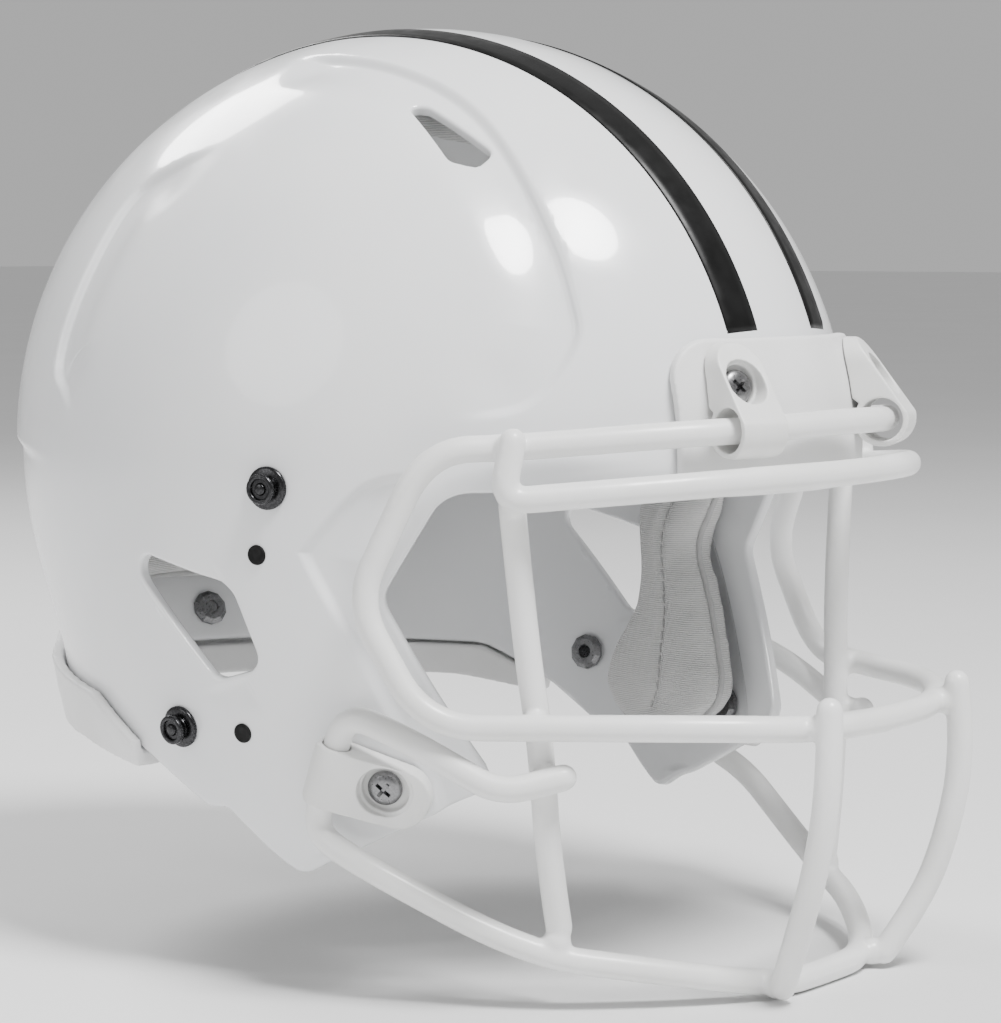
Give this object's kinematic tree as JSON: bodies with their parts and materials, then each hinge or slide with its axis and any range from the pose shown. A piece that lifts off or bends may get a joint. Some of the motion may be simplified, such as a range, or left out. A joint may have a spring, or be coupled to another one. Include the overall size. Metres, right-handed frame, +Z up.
{
  "type": "american football helmet",
  "caption": "White American football helmet with a hinged wire facemask, plastic clips, bumpers, two black stripes, chin-strap snaps and a padded liner.",
  "frame": {"origin": "under the middle of the whole helmet, level with the lowest point of the facemask", "axes": "+Z up with the helmet level as worn, +Y towards the back of the helmet, -Y the way the wearer looks, +X the wearer's left"},
  "size_m": [0.2362, 0.3259, 0.2909],
  "materials": {
    "shell_gloss_white": "glossy moulded and painted polycarbonate, near white with a very slightly cool tint",
    "stripe_black_vinyl": "thin satin black vinyl decal bands",
    "bumper_white": "soft satin moulded plastic bumper",
    "mask_white_vinyl": "steel rod dipped in satin white vinyl",
    "clip_white_plastic": "moulded satin off-white plastic clip",
    "screw_steel": "dark zinc plated steel, cross drive",
    "snap_dark_metal": "black oxide coated snap post",
    "valve_black_rubber": "soft black rubber valve plug",
    "liner_pale_fabric": "pale knitted fabric over closed foam"
  },
  "bodies": {
    "shell": {"shell": "shell_gloss_white", "stripe_left": "stripe_black_vinyl", "stripe_right": "stripe_black_vinyl", "front_bumper": "bumper_white", "rear_bumper": "bumper_white", "top_clip_left": "clip_white_plastic", "top_clip_screw_left": "screw_steel", "top_clip_nut_left": "screw_steel", "side_clip_nut_left": "screw_steel", "upper_snap_left": "snap_dark_metal", "upper_snap_nut_left": "screw_steel", "lower_snap_left": "snap_dark_metal", "lower_snap_nut_left": "screw_steel", "upper_valve_left": "valve_black_rubber", "lower_valve_left": "valve_black_rubber", "rear_bumper_screw_left": "screw_steel", "rear_bumper_nut_left": "screw_steel", "top_clip_right": "clip_white_plastic", "top_clip_screw_right": "screw_steel", "top_clip_nut_right": "screw_steel", "side_clip_nut_right": "screw_steel", "upper_snap_right": "snap_dark_metal", "upper_snap_nut_right": "screw_steel", "lower_snap_right": "snap_dark_metal", "lower_snap_nut_right": "screw_steel", "upper_valve_right": "valve_black_rubber", "lower_valve_right": "valve_black_rubber", "rear_bumper_screw_right": "screw_steel", "rear_bumper_nut_right": "screw_steel", "front_pad": "liner_pale_fabric", "crown_pad": "liner_pale_fabric", "rear_pad": "liner_pale_fabric", "nape_pad": "liner_pale_fabric", "side_pad_left": "liner_pale_fabric", "side_pad_right": "liner_pale_fabric", "jaw_pad_left": "liner_pale_fabric", "jaw_pad_right": "liner_pale_fabric"},
    "facemask": {"ring_bar": "mask_white_vinyl", "brow_bar": "mask_white_vinyl", "jaw_bar": "mask_white_vinyl", "side_bar_left": "mask_white_vinyl", "centre_bar_left": "mask_white_vinyl", "side_bar_right": "mask_white_vinyl", "centre_bar_right": "mask_white_vinyl", "side_clip_left": "clip_white_plastic", "side_clip_screw_left": "screw_steel", "side_clip_right": "clip_white_plastic", "side_clip_screw_right": "screw_steel"}
  },
  "joints": [
    {"name": "mask_swing", "type": "hinge", "parent": "shell", "child": "facemask", "pos_m": [0, -0.1319, 0.1688], "axis": [-1, 0, 0], "range_deg": [0, 36]}
  ]
}
